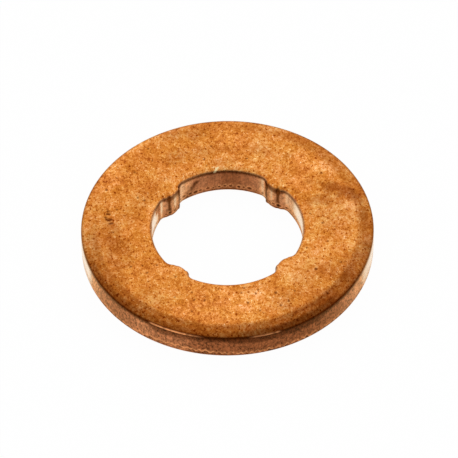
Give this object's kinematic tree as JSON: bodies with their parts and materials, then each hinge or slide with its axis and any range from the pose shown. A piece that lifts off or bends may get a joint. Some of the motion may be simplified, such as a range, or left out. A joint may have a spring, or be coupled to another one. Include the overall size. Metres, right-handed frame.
{
  "type": "injector washer",
  "caption": "Flat stamped copper sealing ring with rolled upper edges and short centring tabs in its bore.",
  "frame": {"origin": "centre of the lower face, on the ring's axis", "axes": "+Z along the ring's axis, out of the upper face with the rolled edges; the tabs lie halfway between the X and Y axes"},
  "size_m": [0.015, 0.015, 0.0015],
  "materials": {
    "copper": "satin"
  },
  "bodies": {
    "root": {"washer": "copper"}
  },
  "joints": []
}
